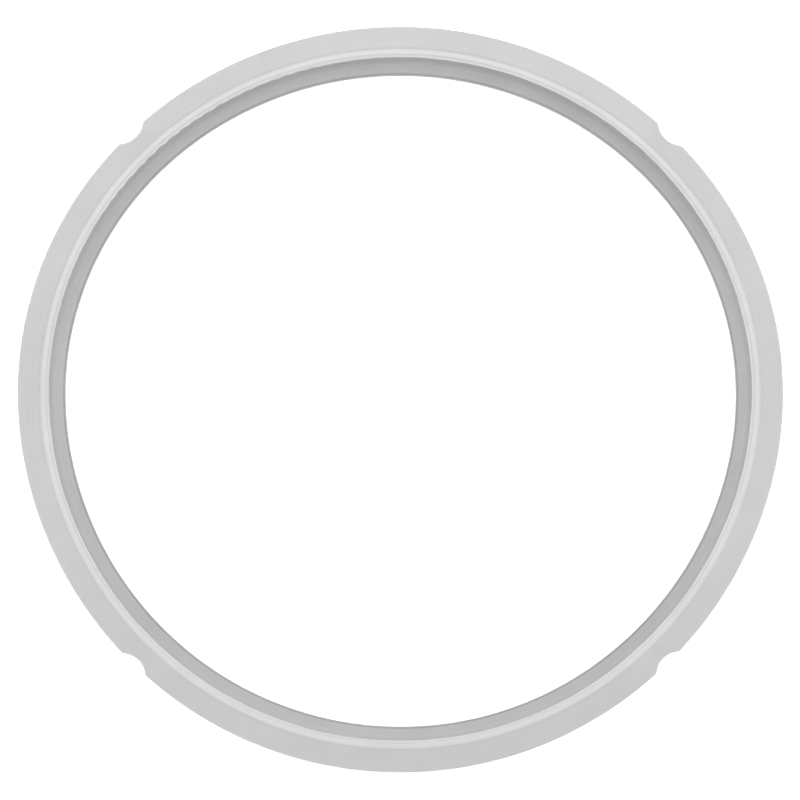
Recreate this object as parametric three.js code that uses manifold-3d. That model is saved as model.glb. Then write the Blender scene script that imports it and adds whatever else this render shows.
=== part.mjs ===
// Sealing ring for the lid of a stovetop pressure cooker: one moulding of limp silicone rubber.
// Millimetres, +Z up. The ring lies on its lower lip; its origin is the centre of the outline at
// the height of the surface it lies on.
//
// The cross-section opens inwards. On top is a thin flange with four notches in its outer edge and a
// flat-topped bead along its inner edge, which ends in a thin upper lip. The wall hangs under the bead and
// turns into a lower lip that slopes inwards, so that steam pressure pushes the two lips apart.

import * as THREE from 'three';
import { mergeVertices } from 'three/addons/utils/BufferGeometryUtils.js';
import Module from 'manifold-3d';

// Driving radii, before the ring goes out of round
const OPENING_RADIUS = 110; // the 22 cm size: the lower lip's inner edge
const FLANGE_RADIUS = 124.7;
const BEAD_OUTER_RADIUS = 117.6; // the foot of the bead's outer flank
const LIP_RADIUS = 114.3; // the upper lip's inner edge

// Driving heights
const RING_HEIGHT = 13; // to the crest of the bead
const BEAD_HEIGHT = 0.2; // above the flange's top face
const FLANGE_FALL = 0.5; // how far the flange's top face falls from the bead to its edge
const FLANGE_EDGE_THICKNESS = 1.8;
const FLANGE_ROOT_THICKNESS = 2.4;
const OUTER_BEND_HEIGHT = 3.5; // where the wall's outer face turns into the lower lip
const INNER_BEND_HEIGHT = 5.4; // where its inner face does

// Wall and lips
const WALL_INNER_RADIUS = 115.4;
const WALL_THICKNESS = 2.2;
const BEAD_FLANK_WIDTH = 0.9;
const BEAD_CREST_WIDTH = 1.25;
const LIP_SLOPE_WIDTH = 0.45; // from the bead's crest down to the upper lip
const LIP_THICKNESS = 0.9;
const LIP_DROP = 0.12; // from the bead's crest down to the top of the upper lip
const LOWER_LIP_REST_WIDTH = 2.6; // the flat rim that the ring lies on, rounded edges included
const LOWER_LIP_EDGE_HEIGHT = 1.7;

// Notches in the flange's outer edge
const NOTCH_COUNT = 4;
const NOTCH_FIRST_ANGLE = Math.PI / 4;
const NOTCH_RADIUS = 7.75;
const NOTCH_DEPTH = 2.15;

// A limp ring laid down by hand is a little out of round. Each row is a wave round the ring: how many
// times it repeats, its size in line with X, and its size a quarter wave on.
const OUTWARD_WAVES = [[2, 1.47, -0.1], [3, 0.06, 0.45], [4, 0.1, 0], [5, 0.04, 0.09]]; // millimetres
const SIDEWAYS_WAVES = [[1, -0.69, -0.3], [2, 0, -0.29]]; // degrees, anticlockwise

// Facets
const RING_FACETS = 96;
const FILLET_FACET_RADIUS = 1; // a fillet gets one facet for each such length of its radius
const NOTCH_FACETS = 48;

/**
 * Rounds the corners of a closed outline.
 * Each corner is [radius from the axis, height, fillet radius]. Returns Vector2 points, first = last.
 */
function roundedOutline(corners) {
  const points = [];
  corners.forEach(([r, z, fillet], i) => {
    const corner = new THREE.Vector2(r, z);
    const [rBefore, zBefore] = corners.at(i - 1);
    const [rAfter, zAfter] = corners[(i + 1) % corners.length];
    const back = new THREE.Vector2(rBefore, zBefore).sub(corner).normalize();
    const on = new THREE.Vector2(rAfter, zAfter).sub(corner).normalize();
    const halfAngle = Math.acos(back.dot(on)) / 2;
    const centre = back.clone().add(on).normalize();
    centre.multiplyScalar(fillet / Math.sin(halfAngle)).add(corner);
    const start = corner.clone().addScaledVector(back, fillet / Math.tan(halfAngle)).sub(centre);
    const turn = Math.sign(back.cross(on)) * (2 * halfAngle - Math.PI);
    const facets = Math.ceil(fillet / FILLET_FACET_RADIUS);
    for (let step = 0; step <= facets; step++) {
      const spoke = start.clone().rotateAround(new THREE.Vector2(), (turn * step) / facets);
      points.push(centre.clone().add(spoke));
    }
  });
  points.push(points[0].clone());
  return points;
}

/** The ring's cross-section: x is the distance from the axis and y the height. */
function crossSection() {
  const flangeTop = RING_HEIGHT - BEAD_HEIGHT;
  const lipTop = RING_HEIGHT - LIP_DROP;
  const crestOuter = BEAD_OUTER_RADIUS - BEAD_FLANK_WIDTH;
  const crestInner = crestOuter - BEAD_CREST_WIDTH;
  const wallOuterRadius = WALL_INNER_RADIUS + WALL_THICKNESS;
  return roundedOutline([
    [FLANGE_RADIUS, flangeTop - FLANGE_FALL, 0.6],
    [BEAD_OUTER_RADIUS, flangeTop, 0.15],
    [crestOuter, RING_HEIGHT, 0.15],
    [crestInner, RING_HEIGHT, 0.15],
    [crestInner - LIP_SLOPE_WIDTH, lipTop, 0.15],
    [LIP_RADIUS, lipTop, 0.25],
    [LIP_RADIUS, lipTop - LIP_THICKNESS, 0.25],
    [WALL_INNER_RADIUS, flangeTop - FLANGE_ROOT_THICKNESS, 0.6],
    [WALL_INNER_RADIUS, INNER_BEND_HEIGHT, 1.0],
    [OPENING_RADIUS, LOWER_LIP_EDGE_HEIGHT, 0.6],
    [OPENING_RADIUS, 0, 0.5],
    [OPENING_RADIUS + LOWER_LIP_REST_WIDTH, 0, 0.8],
    [wallOuterRadius, OUTER_BEND_HEIGHT, 2.0],
    [wallOuterRadius, flangeTop - FLANGE_ROOT_THICKNESS, 0.8],
    [FLANGE_RADIUS, flangeTop - FLANGE_FALL - FLANGE_EDGE_THICKNESS, 0.6],
  ]);
}

/** The sum of some waves round the ring at an angle. */
function waviness(waves, angle) {
  return waves.reduce((sum, [repeats, inLine, quarterOn]) => (
    sum + inLine * Math.cos(repeats * angle) + quarterOn * Math.sin(repeats * angle)
  ), 0);
}

/** Where a point of the round moulding lies once the limp ring is laid down: [radius, angle]. */
function laidDown(radius, angle) {
  const laidAngle = angle + THREE.MathUtils.degToRad(waviness(SIDEWAYS_WAVES, angle));
  return [radius + waviness(OUTWARD_WAVES, laidAngle), laidAngle];
}

/** The ring's section turned about Z, then laid down out of round. */
function ringBody() {
  const body = new THREE.LatheGeometry(crossSection(), RING_FACETS);
  body.rotateX(Math.PI / 2);
  const place = body.getAttribute('position');
  for (let i = 0; i < place.count; i++) {
    const mouldRadius = Math.hypot(place.getX(i), place.getY(i));
    const mouldAngle = Math.atan2(place.getY(i), place.getX(i));
    const [radius, angle] = laidDown(mouldRadius, mouldAngle);
    place.setXY(i, radius * Math.cos(angle), radius * Math.sin(angle));
  }
  return body;
}

/** A round cutter that takes one notch out of the flange's edge. */
function notchCutter(mouldAngle) {
  const cutter = new THREE.CylinderGeometry(NOTCH_RADIUS, NOTCH_RADIUS, RING_HEIGHT, NOTCH_FACETS);
  const [edge, angle] = laidDown(FLANGE_RADIUS, mouldAngle);
  const distance = edge - NOTCH_DEPTH + NOTCH_RADIUS;
  cutter.rotateX(Math.PI / 2);
  cutter.translate(distance * Math.cos(angle), distance * Math.sin(angle), RING_HEIGHT);
  return cutter;
}

const solids = await Module();
solids.setup();

/** A closed geometry as a manifold solid. */
function toSolid(geometry) {
  const bare = geometry.clone();
  bare.deleteAttribute('normal');
  bare.deleteAttribute('uv');
  const merged = mergeVertices(bare);
  return new solids.Manifold(new solids.Mesh({
    numProp: 3,
    vertProperties: new Float32Array(merged.getAttribute('position').array),
    triVerts: new Uint32Array(merged.getIndex().array),
  }));
}

/** A manifold solid as a geometry. */
function toGeometry(solid) {
  const mesh = solid.getMesh();
  const geometry = new THREE.BufferGeometry();
  geometry.setAttribute('position', new THREE.BufferAttribute(mesh.vertProperties, 3));
  geometry.setIndex(new THREE.BufferAttribute(mesh.triVerts, 1));
  geometry.computeVertexNormals();
  return geometry;
}

/** The notched ring, with the centre of its outline on the Z axis. */
function sealingRing() {
  let ring = toSolid(ringBody());
  for (let i = 0; i < NOTCH_COUNT; i++) {
    const angle = NOTCH_FIRST_ANGLE + (i * 2 * Math.PI) / NOTCH_COUNT;
    ring = ring.subtract(toSolid(notchCutter(angle)));
  }
  const geometry = toGeometry(ring);
  geometry.computeBoundingBox();
  const middle = geometry.boundingBox.getCenter(new THREE.Vector3());
  geometry.translate(-middle.x, -middle.y, 0);
  return geometry;
}

const silicone = new THREE.MeshStandardMaterial({ color: 0xdedede, roughness: 0.45, metalness: 0 });

const ring = new THREE.Mesh(sealingRing(), silicone);
ring.name = 'sealing_ring';

const group = new THREE.Group();
group.add(ring);

export default group;
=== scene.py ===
"""A loose silicone sealing ring, the lid gasket of a stovetop pressure cooker, lying on a pale table.

The ring is one moulding. Its outline is drawn corner by corner, its corners are rounded, and it is spun
into a quarter of the ring that holds one notch; four quarters make the ring. It then goes a little out
of round, as a limp ring does when it is laid down. Lengths are in metres.
"""

import logging
import math
from dataclasses import dataclass, field
from enum import Enum

import bmesh
import bpy
from mathutils import Matrix, Vector


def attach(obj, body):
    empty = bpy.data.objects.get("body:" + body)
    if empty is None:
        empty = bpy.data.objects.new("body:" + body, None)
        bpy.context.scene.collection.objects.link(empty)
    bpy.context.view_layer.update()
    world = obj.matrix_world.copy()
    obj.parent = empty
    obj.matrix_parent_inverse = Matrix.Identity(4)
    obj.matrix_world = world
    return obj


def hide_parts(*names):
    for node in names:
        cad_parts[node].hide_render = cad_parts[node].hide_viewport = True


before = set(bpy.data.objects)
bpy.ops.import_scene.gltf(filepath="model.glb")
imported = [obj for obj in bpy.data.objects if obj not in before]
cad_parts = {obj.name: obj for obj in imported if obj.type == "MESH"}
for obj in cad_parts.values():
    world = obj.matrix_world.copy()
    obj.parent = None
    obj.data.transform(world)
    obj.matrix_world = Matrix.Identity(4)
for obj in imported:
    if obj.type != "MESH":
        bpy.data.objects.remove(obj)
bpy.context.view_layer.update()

MM = 0.001
SPIN_AXIS = (0.0, 0.0, -1.0)  # a spin about this axis goes anticlockwise seen from above
AXIS_FOOT = (0.0, 0.0, 0.0)
FULL_TURN = 2 * math.pi
NOTHING = 1e-7  # metres; a cut that is smaller isn't made
SAME_PLACE = 1e-6  # metres
SAME_ANGLE = 1e-5  # radians
WELD = 0.002 * MM
MOULD_RADIUS = "mould_radius"

log = logging.getLogger("sealing_ring")


@dataclass(frozen=True)
class Corner:
    """A corner of the ring's cross-section, with the radius that rounds it."""

    radius: float
    height: float
    fillet: float
    segments: int

    @property
    def place(self) -> Vector:
        """The corner's place in the plane of the cross-section, which is spun about Z."""
        return Vector((self.radius, 0.0, self.height))


@dataclass(frozen=True)
class RingSection:
    """The cross-section of the moulding, as distances from the ring's axis and from the table."""

    opening_radius: float = 110.0 * MM
    flange_radius: float = 124.7 * MM
    bead_outer_radius: float = 117.6 * MM
    lip_radius: float = 114.3 * MM
    wall_inner_radius: float = 115.4 * MM
    wall_outer_radius: float = 117.6 * MM
    ring_height: float = 13.0 * MM
    flange_top: float = 12.8 * MM
    flange_fall: float = 0.5 * MM
    lip_top: float = 12.88 * MM
    lip_thickness: float = 0.9 * MM
    flange_edge_thickness: float = 1.8 * MM
    flange_root_thickness: float = 2.4 * MM
    outer_bend_height: float = 3.5 * MM
    inner_bend_height: float = 5.4 * MM
    bead_flank_width: float = 0.9 * MM
    bead_crest_width: float = 1.25 * MM
    lip_slope_width: float = 0.45 * MM
    lower_lip_rest_width: float = 2.6 * MM
    lower_lip_edge_height: float = 1.7 * MM
    parting_ridge: float = 0.1 * MM
    lower_parting_share: float = 0.52  # of the lower lip's edge height

    def corners(self) -> list[Corner]:
        """The outline's corners, from the flange's upper edge inwards, down the inside and back outside.

        Returns:
            The corners in order round the closed outline.
        """
        return [*self._flange_and_bead(), *self._upper_lip_and_wall(), *self._lower_lip(), *self._underside()]

    def _flange_and_bead(self) -> list[Corner]:
        """The flange's top face, which falls a little towards its edge, and the flat-topped bead.

        Returns:
            The corners from the flange's upper edge to the foot of the slope inside the bead.
        """
        crest_outer = self.bead_outer_radius - self.bead_flank_width
        crest_inner = crest_outer - self.bead_crest_width
        edge = self.flange_radius - self.parting_ridge
        return [
            Corner(edge, self.flange_top - self.flange_fall, fillet=0.6 * MM, segments=6),
            Corner(self.bead_outer_radius, self.flange_top, fillet=1.5 * MM, segments=4),
            Corner(crest_outer, self.ring_height, fillet=1.5 * MM, segments=4),
            Corner(crest_inner, self.ring_height, fillet=1.2 * MM, segments=3),
            Corner(crest_inner - self.lip_slope_width, self.lip_top, fillet=1.2 * MM, segments=3),
        ]

    def _upper_lip_and_wall(self) -> list[Corner]:
        """The thin upper lip, its underside and the wall's inner face.

        Returns:
            The corners from the lip's upper edge to the bend at the foot of the wall.
        """
        root = self.flange_top - self.flange_root_thickness
        return [
            Corner(self.lip_radius, self.lip_top, fillet=0.12 * MM, segments=3),
            Corner(self.lip_radius, self.lip_top - self.lip_thickness, fillet=0.2 * MM, segments=3),
            Corner(self.wall_inner_radius, root, fillet=0.6 * MM, segments=4),
            Corner(self.wall_inner_radius, self.inner_bend_height, fillet=1.0 * MM, segments=5),
        ]

    def _lower_lip(self) -> list[Corner]:
        """The lower lip's edge, with its parting line, and the flat rim that the ring lies on.

        Returns:
            The corners from the lower lip's upper edge to the outside of the flat rim.
        """
        edge = self.opening_radius + self.parting_ridge
        parting = self.lower_lip_edge_height * self.lower_parting_share
        return [
            Corner(edge, self.lower_lip_edge_height, fillet=0.6 * MM, segments=5),
            *self._parting_line(edge, self.opening_radius, parting, -self.parting_ridge),
            Corner(edge, 0.0, fillet=0.5 * MM, segments=5),
            Corner(self.opening_radius + self.lower_lip_rest_width, 0.0, fillet=0.8 * MM, segments=4),
        ]

    def _underside(self) -> list[Corner]:
        """The wall's outer face, the flange's underside and the parting line round its edge.

        Returns:
            The corners from the bend under the wall to the parting line.
        """
        edge = self.flange_radius - self.parting_ridge
        root = self.flange_top - self.flange_root_thickness
        edge_top = self.flange_top - self.flange_fall
        parting = edge_top - self.flange_edge_thickness / 2
        return [
            Corner(self.wall_outer_radius, self.outer_bend_height, fillet=2.0 * MM, segments=6),
            Corner(self.wall_outer_radius, root, fillet=0.8 * MM, segments=4),
            Corner(edge, edge_top - self.flange_edge_thickness, fillet=0.55 * MM, segments=5),
            *self._parting_line(edge, self.flange_radius, parting, self.parting_ridge),
        ]

    @staticmethod
    def _parting_line(edge: float, ridge: float, height: float, step: float) -> list[Corner]:
        """The small ridge that the mould's two halves leave on an edge.

        Args:
            edge: The radius of the plain edge.
            ridge: The radius of the ridge.
            height: The ridge's height.
            step: Half the ridge's width, positive if the outline runs upwards there.

        Returns:
            The ridge's three corners.
        """
        return [
            Corner(edge, height - step, fillet=0.03 * MM, segments=1),
            Corner(ridge, height, fillet=0.04 * MM, segments=1),
            Corner(edge, height + step, fillet=0.03 * MM, segments=1),
        ]


@dataclass(frozen=True)
class Notches:
    """The round notches moulded into the flange's outer edge, evenly spaced."""

    count: int = 4
    first_angle: float = math.radians(45)
    radius: float = 7.75 * MM
    depth: float = 2.15 * MM
    softness: float = 0.5 * MM
    half_reach: float = math.radians(3.6)
    steps: int = 60
    reaches_in_to: float = 121.0 * MM

    @property
    def pitch(self) -> float:
        """The angle from one notch to the next."""
        return FULL_TURN / self.count

    def cut_at(self, angle: float, edge_radius: float) -> float:
        """How far the flange's edge stands back at an angle from the notch's middle.

        Args:
            angle: The angle from the middle of the notch.
            edge_radius: The radius of the plain edge.

        Returns:
            The distance between the plain edge and the notch's outline, with softened corners.
        """
        centre = edge_radius - self.depth + self.radius
        across = centre * math.sin(angle)
        if abs(across) >= self.radius:
            return 0.0
        outline = centre * math.cos(angle) - math.sqrt(self.radius**2 - across**2)
        overlap = max(self.softness - abs(edge_radius - outline), 0.0) / self.softness
        return edge_radius - min(edge_radius, outline) + overlap**2 * self.softness / 4


@dataclass(frozen=True)
class Wave:
    """A smooth wave round the ring: how often it repeats, its size in line with X and a quarter wave on."""

    repeats: int
    in_line: float
    quarter_on: float

    def at(self, angle: float) -> float:
        """The wave's height at an angle."""
        turn = self.repeats * angle
        return self.in_line * math.cos(turn) + self.quarter_on * math.sin(turn)


@dataclass(frozen=True)
class LooseLay:
    """How a limp ring lies when it is laid down by hand: slightly oval, with a few shallower waves."""

    outward: tuple[Wave, ...] = (
        Wave(2, 1.47 * MM, -0.10 * MM),
        Wave(3, 0.06 * MM, 0.45 * MM),
        Wave(4, 0.10 * MM, 0.0),
        Wave(5, 0.04 * MM, 0.09 * MM),
    )
    sideways: tuple[Wave, ...] = (
        Wave(1, math.radians(-0.69), math.radians(-0.30)),
        Wave(2, 0.0, math.radians(-0.29)),
    )

    def laid_down(self, radius: float, angle: float) -> tuple[float, float]:
        """Where a point of the round moulding comes to lie.

        Args:
            radius: The point's distance from the mould's axis.
            angle: The point's angle round that axis.

        Returns:
            The radius and the angle at which it lies.
        """
        laid_angle = angle + sum(wave.at(angle) for wave in self.sideways)
        return radius + sum(wave.at(laid_angle) for wave in self.outward), laid_angle


@dataclass(frozen=True)
class Ripple:
    """One part of the slight waver that hand trimming leaves round the lip."""

    repeats: int
    share: float
    start: float

    def at(self, angle: float) -> float:
        """The ripple's height at an angle, as a share of the waver."""
        return self.share * math.sin(self.repeats * angle + self.start)


@dataclass(frozen=True)
class TrimmedFlash:
    """The upper lip's edge, trimmed by hand: a stretch of shallow scallops, and a slight waver elsewhere."""

    scallop_depth: float = 0.38 * MM
    scallop_length: float = 4.8 * MM
    scallop_mean: float = 0.75  # taken off each scallop, so that the lip keeps its place on average
    scallops_from: float = math.radians(100)
    scallops_to: float = math.radians(150)
    fade: float = math.radians(6)
    waver: float = 0.035 * MM
    ripples: tuple[Ripple, ...] = (Ripple(17, 1.0, 0.0), Ripple(41, 0.6, 1.3), Ripple(73, 0.4, 4.1))
    reach: float = 0.7 * MM
    above: float = 11.0 * MM

    def trim(self, angle: float, radius: float, lip_radius: float) -> float:
        """How far a point near the lip's edge is moved outwards by the trimming.

        Args:
            angle: The point's angle round the ring.
            radius: The point's radius.
            lip_radius: The untrimmed lip's radius.

        Returns:
            The radial offset, which fades out with the distance from the lip's edge.
        """
        nearness = max(1.0 - (radius - lip_radius) / self.reach, 0.0)
        turn = math.fmod(angle + FULL_TURN, FULL_TURN)
        rise = min(max((turn - self.scallops_from) / self.fade, 0.0), 1.0)
        fall = min(max((self.scallops_to - turn) / self.fade, 0.0), 1.0)
        scallop = abs(math.sin(math.pi * turn * lip_radius / self.scallop_length)) - self.scallop_mean
        waver = sum(ripple.at(turn) for ripple in self.ripples)
        return nearness * (self.scallop_depth * rise * fall * scallop + self.waver * waver)


@dataclass(frozen=True)
class ToneAndShade:
    """How light the silicone is painted at one distance from the mould's axis, with painted shade and
    highlight in it.
    """

    radius: float
    grey: float


@dataclass(frozen=True)
class Relief:
    """A fine relief on the skin: how strongly it is felt and how deep it is."""

    strength: float
    depth: float


class Mixture:
    """A material while it is being mixed: adds nodes to it and wires them up."""

    def __init__(self, name: str) -> None:
        """Starts a material with a plain skin.

        Args:
            name: The material's name.
        """
        self.material = bpy.data.materials.new(name)
        self.material.use_nodes = True
        self.nodes = self.material.node_tree.nodes
        self.links = self.material.node_tree.links
        self.skin = self.nodes["Principled BSDF"]

    def object_place(self) -> bpy.types.NodeSocket:
        """Adds the coordinates of the piece itself and returns their socket."""
        return self.nodes.new("ShaderNodeTexCoord").outputs["Object"]

    def attribute(self, name: str) -> bpy.types.NodeSocket:
        """Adds a number that is kept with each point of the mesh.

        Args:
            name: The attribute's name.

        Returns:
            The number's socket.
        """
        attribute = self.nodes.new("ShaderNodeAttribute")
        attribute.attribute_name = name
        return attribute.outputs["Fac"]

    def noise(self, place: bpy.types.NodeSocket, scale: float, detail: float) -> bpy.types.NodeSocket:
        """Adds a noise through the piece.

        Args:
            place: The coordinates that it is laid out by.
            scale: How many waves there are in a metre.
            detail: How many finer waves lie on them.

        Returns:
            The noise's socket, from 0 to 1.
        """
        noise = self.nodes.new("ShaderNodeTexNoise")
        noise.inputs["Scale"].default_value = scale
        noise.inputs["Detail"].default_value = detail
        self.links.new(place, noise.inputs["Vector"])
        return noise.outputs["Fac"]

    def lines(self, across: bpy.types.NodeSocket, scale: float, detail: float) -> bpy.types.NodeSocket:
        """Adds a pattern of fine lines.

        Args:
            across: The distance that the lines are spread over.
            scale: How many lines there are in a metre.
            detail: How many finer lines lie between them.

        Returns:
            The pattern's socket, from 0 to 1.
        """
        lines = self.nodes.new("ShaderNodeTexNoise")
        lines.noise_dimensions = "1D"
        lines.inputs["Scale"].default_value = scale
        lines.inputs["Detail"].default_value = detail
        self.links.new(across, lines.inputs["W"])
        return lines.outputs["Fac"]

    def spread(self, value: bpy.types.NodeSocket, low: float, high: float) -> bpy.types.NodeSocket:
        """Spreads a value from 0 to 1 over a new range.

        Args:
            value: The value's socket.
            low: What 0 becomes.
            high: What 1 becomes.

        Returns:
            The new value's socket.
        """
        mapped = self.nodes.new("ShaderNodeMapRange")
        mapped.inputs["To Min"].default_value = low
        mapped.inputs["To Max"].default_value = high
        self.links.new(value, mapped.inputs["Value"])
        return mapped.outputs["Result"]

    def sum(self, first: bpy.types.NodeSocket, second: bpy.types.NodeSocket) -> bpy.types.NodeSocket:
        """Adds two values.

        Args:
            first: One value's socket.
            second: The other's.

        Returns:
            The sum's socket.
        """
        added = self.nodes.new("ShaderNodeMath")
        added.operation = "ADD"
        self.links.new(first, added.inputs[0])
        self.links.new(second, added.inputs[1])
        return added.outputs["Value"]

    def grading(self, radius: bpy.types.NodeSocket, tones: tuple[ToneAndShade, ...]) -> bpy.types.NodeSocket:
        """Grades the grey by the distance from the mould's axis.

        Args:
            radius: The distance's socket.
            tones: The greys, from the innermost outwards.

        Returns:
            The grey's socket.
        """
        first, last = tones[0].radius, tones[-1].radius
        across = self.nodes.new("ShaderNodeMapRange")
        across.inputs["From Min"].default_value = first
        across.inputs["From Max"].default_value = last
        self.links.new(radius, across.inputs["Value"])
        ramp = self.nodes.new("ShaderNodeValToRGB")
        stops = ramp.color_ramp.elements
        while len(stops) < len(tones):
            stops.new(0.5)
        for stop, tone_and_shade in zip(stops, tones):
            stop.position = (tone_and_shade.radius - first) / (last - first)
            stop.color = (tone_and_shade.grey, tone_and_shade.grey, tone_and_shade.grey, 1.0)
        self.links.new(across.outputs["Result"], ramp.inputs["Fac"])
        return ramp.outputs["Color"]

    def relief(
        self, pattern: bpy.types.NodeSocket, relief: Relief, under: bpy.types.NodeSocket | None = None
    ) -> bpy.types.NodeSocket:
        """Raises a pattern from the skin.

        Args:
            pattern: The pattern's socket.
            relief: How it stands out.
            under: A coarser relief that it lies on, if there is one.

        Returns:
            The relief's socket.
        """
        bump = self.nodes.new("ShaderNodeBump")
        bump.inputs["Strength"].default_value = relief.strength
        bump.inputs["Distance"].default_value = relief.depth
        self.links.new(pattern, bump.inputs["Height"])
        if under is not None:
            self.links.new(under, bump.inputs["Normal"])
        return bump.outputs["Normal"]

    def clear_where(self, where: bpy.types.NodeSocket, clearness: float = 1.0) -> None:
        """Lets light straight through instead of meeting the skin.

        Args:
            where: The socket that is 1 where, or for which rays, this happens.
            clearness: How much of the light gets through.
        """
        clear = self.nodes.new("ShaderNodeBsdfTransparent")
        clear.inputs["Color"].default_value = (clearness, clearness, clearness, 1.0)
        either = self.nodes.new("ShaderNodeMixShader")
        self.links.new(where, either.inputs["Fac"])
        self.links.new(self.skin.outputs["BSDF"], either.inputs[1])
        self.links.new(clear.outputs["BSDF"], either.inputs[2])
        self.links.new(either.outputs["Shader"], self.nodes["Material Output"].inputs["Surface"])


@dataclass(frozen=True)
class SiliconeFinish:
    """Translucent white silicone rubber with a satin moulded skin.

    Its grey, graded by the distance from the mould's axis, holds painted light. The bead is lighter, partly
    the thick moulding's whiteness and partly a painted highlight. The lower lip is greyer, with painted shade
    on its thin rim and in under the upper lip.
    """

    # Painted shade: the lower lip is greyer than the flange, darkest in a thin painted line on its rim and in
    # under the upper lip.
    lower_tones_and_shade: tuple[ToneAndShade, ...] = (
        ToneAndShade(110.15 * MM, 0.50),
        ToneAndShade(110.35 * MM, 0.40),
        ToneAndShade(110.65 * MM, 0.40),
        ToneAndShade(110.95 * MM, 0.55),
        ToneAndShade(112.3 * MM, 0.54),
        ToneAndShade(113.5 * MM, 0.56),
        ToneAndShade(114.1 * MM, 0.555),
        ToneAndShade(114.5 * MM, 0.535),
        ToneAndShade(115.0 * MM, 0.57),
    )
    # Painted highlight: the bead's crest is lighter, partly the thick moulding's whiteness and partly a
    # painted highlight.
    upper_tones_and_highlight: tuple[ToneAndShade, ...] = (
        ToneAndShade(114.3 * MM, 0.615),
        ToneAndShade(115.2 * MM, 0.615),
        ToneAndShade(115.5 * MM, 0.69),
        ToneAndShade(116.7 * MM, 0.69),
        ToneAndShade(117.2 * MM, 0.65),
        ToneAndShade(117.9 * MM, 0.62),
    )
    middle_height: float = 8.0 * MM
    cloud_scale: float = 55.0
    cloud_detail: float = 4.0
    cloud_contrast: float = 0.035
    line_scale: float = 1400.0
    line_detail: float = 3.0
    line_contrast: float = 0.02
    line_relief: Relief = Relief(strength=0.25, depth=0.03 * MM)
    grain_scale: float = 2600.0
    grain_detail: float = 2.0
    grain_relief: Relief = Relief(strength=0.2, depth=0.02 * MM)
    blotch_scale: float = 130.0
    blotch_detail: float = 2.0
    rough_low: float = 0.30
    rough_high: float = 0.40
    refraction: float = 1.41
    scatter_depth: float = 1.4 * MM
    shade_let_through: float = 0.6

    def material(self) -> bpy.types.Material:
        """Makes the silicone.

        Returns:
            A node material with cloudy depth, fine turned mould lines and a satin skin.
        """
        silicone = Mixture("translucent_silicone")
        skin = silicone.skin
        skin.inputs["IOR"].default_value = self.refraction
        skin.inputs["Subsurface Weight"].default_value = 1.0
        skin.inputs["Subsurface Radius"].default_value = (1.0, 1.0, 1.0)
        skin.inputs["Subsurface Scale"].default_value = self.scatter_depth

        place = silicone.object_place()
        mould_radius = silicone.attribute(MOULD_RADIUS)
        clouds = silicone.noise(place, self.cloud_scale, self.cloud_detail)
        blotches = silicone.noise(place, self.blotch_scale, self.blotch_detail)
        grain = silicone.noise(place, self.grain_scale, self.grain_detail)
        lines = silicone.lines(mould_radius, self.line_scale, self.line_detail)

        shade = silicone.spread(clouds, -self.cloud_contrast, self.cloud_contrast)
        streak = silicone.spread(lines, -self.line_contrast, self.line_contrast)
        # The grey graded by radius is the silicone's own grey with painted shade and a painted highlight in
        # it.
        tone_and_shade = self._tone_and_shade(silicone, place, mould_radius)
        colour = silicone.sum(tone_and_shade, silicone.sum(shade, streak))
        silicone.links.new(colour, skin.inputs["Base Color"])
        rough = silicone.spread(blotches, self.rough_low, self.rough_high)
        silicone.links.new(rough, skin.inputs["Roughness"])
        ridges = silicone.relief(lines, self.line_relief)
        satin = silicone.relief(grain, self.grain_relief, under=ridges)
        silicone.links.new(satin, skin.inputs["Normal"])

        # The ring's own shadows are weak, because the thin lip and flange let much of the light through.
        shadow_rays = silicone.nodes.new("ShaderNodeLightPath").outputs["Is Shadow Ray"]
        silicone.clear_where(shadow_rays, self.shade_let_through)
        return silicone.material

    def _tone_and_shade(
        self, silicone: Mixture, place: bpy.types.NodeSocket, mould_radius: bpy.types.NodeSocket
    ) -> bpy.types.NodeSocket:
        """Grades the grey, with its painted shade and highlight, over the lower lip and, above the wall's
        middle, over the flange and bead.

        Args:
            silicone: The material.
            place: The socket of the piece's own coordinates.
            mould_radius: The socket of the distance from the mould's axis.

        Returns:
            The grey's socket.
        """
        height = silicone.nodes.new("ShaderNodeSeparateXYZ")
        silicone.links.new(place, height.inputs["Vector"])
        is_upper = silicone.nodes.new("ShaderNodeMath")
        is_upper.operation = "GREATER_THAN"
        is_upper.inputs[1].default_value = self.middle_height
        silicone.links.new(height.outputs["Z"], is_upper.inputs[0])
        either = silicone.nodes.new("ShaderNodeMix")
        silicone.links.new(is_upper.outputs["Value"], either.inputs["Factor"])
        silicone.links.new(silicone.grading(mould_radius, self.lower_tones_and_shade), either.inputs["A"])
        silicone.links.new(silicone.grading(mould_radius, self.upper_tones_and_highlight), either.inputs["B"])
        return either.outputs["Result"]


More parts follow.
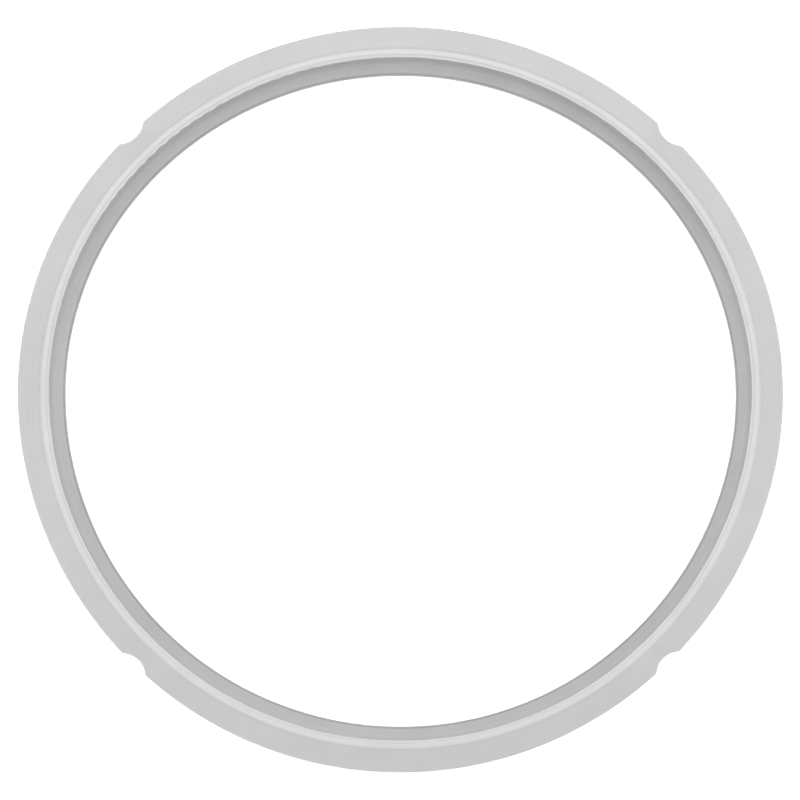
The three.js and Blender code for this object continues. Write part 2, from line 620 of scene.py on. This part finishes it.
@dataclass
class SealingRing:
    """The whole moulding: its section, its notches, how it was trimmed and how it lies."""

    section: RingSection = field(default_factory=RingSection)
    notches: Notches = field(default_factory=Notches)
    flash: TrimmedFlash = field(default_factory=TrimmedFlash)
    lay: LooseLay = field(default_factory=LooseLay)
    finish: SiliconeFinish = field(default_factory=SiliconeFinish)
    plain_steps: int = 138

    def build(self) -> bpy.types.Object:
        """Models the ring and dresses it in silicone.

        Returns:
            The finished piece, at the origin, with its place in its mesh.
        """
        ring = self._draw_outline()
        self._round_corners(ring)
        self._spin_quarter(ring)
        self._copy_quarters()
        bpy.ops.mesh.normals_make_consistent(inside=False)
        bpy.ops.object.mode_set(mode="OBJECT")
        self._finish_by_hand(ring)
        self._smooth(ring)
        ring.data.materials.append(self.finish.material())
        return ring

    def _draw_outline(self) -> bpy.types.Object:
        """Draws the cross-section by extruding one point from corner to corner, and closes it.

        Returns:
            The piece, in edit mode, with the outline's face selected.
        """
        corners = self.section.corners()
        bpy.ops.mesh.primitive_plane_add(size=corners[0].fillet, location=corners[0].place)
        ring = bpy.context.object
        ring.name = ring.data.name = "silicone_sealing_ring"
        bpy.ops.object.transform_apply(location=True, rotation=True, scale=True)
        bpy.ops.object.mode_set(mode="EDIT")
        bpy.ops.mesh.select_all(action="SELECT")
        bpy.ops.mesh.merge(type="CENTER")
        for before, corner in zip(corners, corners[1:]):
            step = corner.place - before.place
            bpy.ops.mesh.extrude_region_move(TRANSFORM_OT_translate={"value": step})
        self._pick(ring, [corners[0].place, corners[-1].place])
        bpy.ops.mesh.edge_face_add()
        bpy.ops.mesh.select_all(action="SELECT")
        bpy.ops.mesh.edge_face_add()
        return ring

    def _round_corners(self, ring: bpy.types.Object) -> None:
        """Rounds each corner of the drawn outline, then leaves only the outline's edges.

        Args:
            ring: The piece, in edit mode.
        """
        corners = self.section.corners()
        for i, corner in enumerate(corners):
            back = (corners[i - 1].place - corner.place).normalized()
            on = (corners[(i + 1) % len(corners)].place - corner.place).normalized()
            run = corner.fillet / math.tan(back.angle(on) / 2)
            self._pick(ring, [corner.place])
            bpy.ops.mesh.bevel(
                affect="VERTICES", offset_type="OFFSET", offset=run, segments=corner.segments, profile=0.5
            )
        bpy.ops.mesh.select_all(action="SELECT")
        bpy.ops.mesh.delete(type="ONLY_FACE")

    def _spin_quarter(self, ring: bpy.types.Object) -> None:
        """Spins the outline past one notch, shapes the notch, and spins on to the next one's start.

        Args:
            ring: The piece, in edit mode, with only its outline drawn.
        """
        bpy.ops.object.mode_set(mode="OBJECT")
        ring.rotation_euler.z = self.notches.first_angle - self.notches.half_reach
        bpy.ops.object.transform_apply(location=True, rotation=True, scale=True)
        bpy.ops.object.mode_set(mode="EDIT")
        bpy.ops.mesh.select_all(action="SELECT")
        self._spin(self.notches.steps, 2 * self.notches.half_reach)
        self._press_in_notch(ring)
        self._pick_beyond(ring, self.notches.first_angle + self.notches.half_reach)
        self._spin(self.plain_steps, self.notches.pitch - 2 * self.notches.half_reach)

    def _press_in_notch(self, ring: bpy.types.Object) -> None:
        """Pushes the flange's edge inwards, column by column, to the notch's outline.

        Args:
            ring: The piece, in edit mode.
        """
        for step in range(self.notches.steps + 1):
            from_middle = (2 * step / self.notches.steps - 1) * self.notches.half_reach
            angle = self.notches.first_angle + from_middle
            cut = self.notches.cut_at(from_middle, self.section.flange_radius)
            if cut > NOTHING:
                self._pick_column(ring, angle)
                inwards = (-cut * math.cos(angle), -cut * math.sin(angle), 0.0)
                bpy.ops.transform.translate(value=inwards)

    def _copy_quarters(self) -> None:
        """Copies the quarter round the axis and welds the quarters where they meet."""
        bpy.ops.mesh.select_all(action="SELECT")
        copies = self.notches.count - 1
        self._spin(copies, copies * self.notches.pitch, as_copies=True)
        bpy.ops.mesh.select_all(action="SELECT")
        bpy.ops.mesh.remove_doubles(threshold=WELD)
        bpy.ops.mesh.select_all(action="SELECT")

    @staticmethod
    def _spin(steps: int, angle: float, as_copies: bool = False) -> None:
        """Spins what is selected about the ring's axis."""
        bpy.ops.mesh.spin(steps=steps, angle=angle, dupli=as_copies, center=AXIS_FOOT, axis=SPIN_AXIS)

    def _finish_by_hand(self, ring: bpy.types.Object) -> None:
        """Trims the upper lip's edge, notes each point's mould radius and lays the ring out of round.

        Args:
            ring: The piece, in object mode.
        """
        mould_radius = ring.data.attributes.new(MOULD_RADIUS, "FLOAT", "POINT")
        for point, noted in zip(ring.data.vertices, mould_radius.data):
            radius = math.hypot(point.co.x, point.co.y)
            angle = math.atan2(point.co.y, point.co.x)
            noted.value = radius
            if point.co.z > self.flash.above:
                radius += self.flash.trim(angle, radius, self.section.lip_radius)
            radius, angle = self.lay.laid_down(radius, angle)
            point.co.x = radius * math.cos(angle)
            point.co.y = radius * math.sin(angle)
        self._centre(ring)

    @staticmethod
    def _centre(ring: bpy.types.Object) -> None:
        """Moves the mesh so that the middle of its outline is on the Z axis.

        Args:
            ring: The piece, in object mode.
        """
        across = [point.co.x for point in ring.data.vertices]
        along = [point.co.y for point in ring.data.vertices]
        middle = Vector((max(across) + min(across), max(along) + min(along), 0.0)) / 2
        ring.data.transform(Matrix.Translation(-middle))
        ring.data.update()

    @staticmethod
    def _smooth(ring: bpy.types.Object) -> None:
        """Shades the ring smooth, with its flat faces kept flat.

        Args:
            ring: The piece, in object mode.
        """
        bpy.ops.object.shade_smooth()
        weighted = ring.modifiers.new("flat_faces_lead", "WEIGHTED_NORMAL")
        weighted.weight = 100
        weighted.keep_sharp = True
        bpy.ops.object.modifier_apply(modifier=weighted.name)

    @staticmethod
    def _pick(ring: bpy.types.Object, places: list[Vector]) -> None:
        """Selects only the points at the given places.

        Args:
            ring: The piece, in edit mode.
            places: The places to look for.
        """
        shape = bmesh.from_edit_mesh(ring.data)
        for point in shape.verts:
            point.select = any((point.co - place).length < SAME_PLACE for place in places)
        shape.select_flush_mode()
        bmesh.update_edit_mesh(ring.data)

    def _pick_column(self, ring: bpy.types.Object, angle: float) -> None:
        """Selects the flange's edge at one angle.

        Args:
            ring: The piece, in edit mode.
            angle: The angle of the column round the axis.
        """
        shape = bmesh.from_edit_mesh(ring.data)
        half_step = self.notches.half_reach / self.notches.steps
        for point in shape.verts:
            outside = math.hypot(point.co.x, point.co.y) > self.notches.reaches_in_to
            point.select = outside and abs(math.atan2(point.co.y, point.co.x) - angle) < half_step / 2
        shape.select_flush_mode()
        bmesh.update_edit_mesh(ring.data)

    @staticmethod
    def _pick_beyond(ring: bpy.types.Object, angle: float) -> None:
        """Selects the open outline at the far end of the spun part.

        Args:
            ring: The piece, in edit mode.
            angle: The angle at which the spun part ends.
        """
        shape = bmesh.from_edit_mesh(ring.data)
        for point in shape.verts:
            point.select = abs(math.atan2(point.co.y, point.co.x) - angle) < SAME_ANGLE
        shape.select_flush_mode()
        bmesh.update_edit_mesh(ring.data)


class Side(Enum):
    """Where a softbox stands round the table, as directions along X and Y."""

    BACK = (0.0, 1.0)
    FRONT = (0.0, -1.0)
    LEFT = (-1.0, 0.0)
    RIGHT = (1.0, 0.0)


@dataclass(frozen=True)
class Softbox:
    """A square softbox that faces the ring, leaning out from straight overhead."""

    side: Side
    power: float
    lean: float
    distance: float
    width: float

    def light(self) -> bpy.types.Object:
        """Hangs the softbox and turns it to the ring.

        Returns:
            The light.
        """
        east, north = self.side.value
        reach, height = self.distance * math.sin(self.lean), self.distance * math.cos(self.lean)
        bpy.ops.object.light_add(type="AREA", location=(east * reach, north * reach, height))
        box = bpy.context.object
        box.name = f"softbox_{self.side.name.lower()}_{math.degrees(self.lean):.0f}"
        box.data.shape = "SQUARE"
        box.data.size = self.width
        box.data.energy = self.power
        box.rotation_euler = (-box.location).to_track_quat("-Z", "Y").to_euler()
        return box


def key(side: Side, power: float) -> Softbox:
    """A main softbox, high over one side of the table, which the bead's flat crest mirrors."""
    return Softbox(side, power, lean=math.radians(15), distance=1.6, width=0.8)


def fill(side: Side, power: float) -> Softbox:
    """A weaker softbox of the same size, nearer to the ring and lower down at one side."""
    return Softbox(side, power, lean=math.radians(48), distance=1.2, width=0.8)


@dataclass
class Studio:
    """The pale, faintly lit table, its soft lights and the camera, which looks almost straight down."""

    softboxes: tuple[Softbox, ...] = (
        key(Side.BACK, 11.3),
        key(Side.RIGHT, 3.4),
        key(Side.LEFT, 4.3),
        fill(Side.FRONT, 0.8),
        fill(Side.RIGHT, 2.6),
        fill(Side.LEFT, 2.2),
    )
    room_light: float = 0.10
    table_size: float = 12.0
    table_grey: float = 0.92
    table_roughness: float = 0.8
    table_gloss: float = 0.2
    table_glow: float = 0.45
    table_drop: float = 0.1 * MM
    camera_distance: float = 1.02
    tilt_to_front: float = math.radians(4.25)
    tilt_to_right: float = math.radians(0.71)
    lens: float = 138.85
    sensor: float = 36.0
    aim: tuple[float, float, float] = (0.02 * MM, -1.03 * MM, 9.0 * MM)

    def build(self) -> None:
        """Sets up the table, the lights and the camera."""
        bpy.context.scene.view_settings.view_transform = "Standard"
        self._table()
        self._room()
        for softbox in self.softboxes:
            softbox.light()
        self._camera()

    def _table(self) -> None:
        """Lays the pale table top, lit faintly from within, under the ring. From below it isn't seen."""
        bpy.ops.mesh.primitive_plane_add(size=self.table_size, location=(0.0, 0.0, -self.table_drop))
        table = bpy.context.object
        table.name = "table_top"
        pale = Mixture("pale_table")
        skin = pale.skin
        skin.inputs["Base Color"].default_value = (self.table_grey, self.table_grey, self.table_grey, 1.0)
        skin.inputs["Roughness"].default_value = self.table_roughness
        skin.inputs["Specular IOR Level"].default_value = self.table_gloss
        skin.inputs["Emission Color"].default_value = (1.0, 1.0, 1.0, 1.0)
        skin.inputs["Emission Strength"].default_value = self.table_glow
        pale.clear_where(pale.nodes.new("ShaderNodeNewGeometry").outputs["Backfacing"])
        table.data.materials.append(pale.material)

    def _room(self) -> None:
        """Fills the room with an even, dim light."""
        room = bpy.data.worlds.new("soft_room")
        room.use_nodes = True
        background = room.node_tree.nodes["Background"]
        background.inputs["Color"].default_value = (1.0, 1.0, 1.0, 1.0)
        background.inputs["Strength"].default_value = self.room_light
        bpy.context.scene.world = room

    def _camera(self) -> None:
        """Hangs the camera over the ring, tipped slightly towards the front."""
        target = Vector(self.aim)
        back = Vector((math.tan(self.tilt_to_right), -math.tan(self.tilt_to_front), 1.0)).normalized()
        bpy.ops.object.camera_add(location=target + back * self.camera_distance)
        camera = bpy.context.object
        camera.name = "camera"
        across = Vector((0.0, 1.0, 0.0)).cross(back).normalized()
        camera.rotation_euler = Matrix((across, back.cross(across), back)).transposed().to_euler()
        camera.data.lens = self.lens
        camera.data.sensor_width = self.sensor
        bpy.context.scene.camera = camera


def main() -> None:
    """Builds the studio and the ring, and ties the ring to the CAD model."""
    logging.basicConfig(level=logging.INFO, format="%(name)s: %(message)s")
    bpy.ops.object.select_all(action="DESELECT")
    Studio().build()
    bpy.ops.object.select_all(action="DESELECT")
    ring = SealingRing().build()
    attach(ring, "root")
    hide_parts("sealing_ring")
    log.info("%s: %d points, %d faces", ring.name, len(ring.data.vertices), len(ring.data.polygons))


if __name__ == "__main__":
    main()
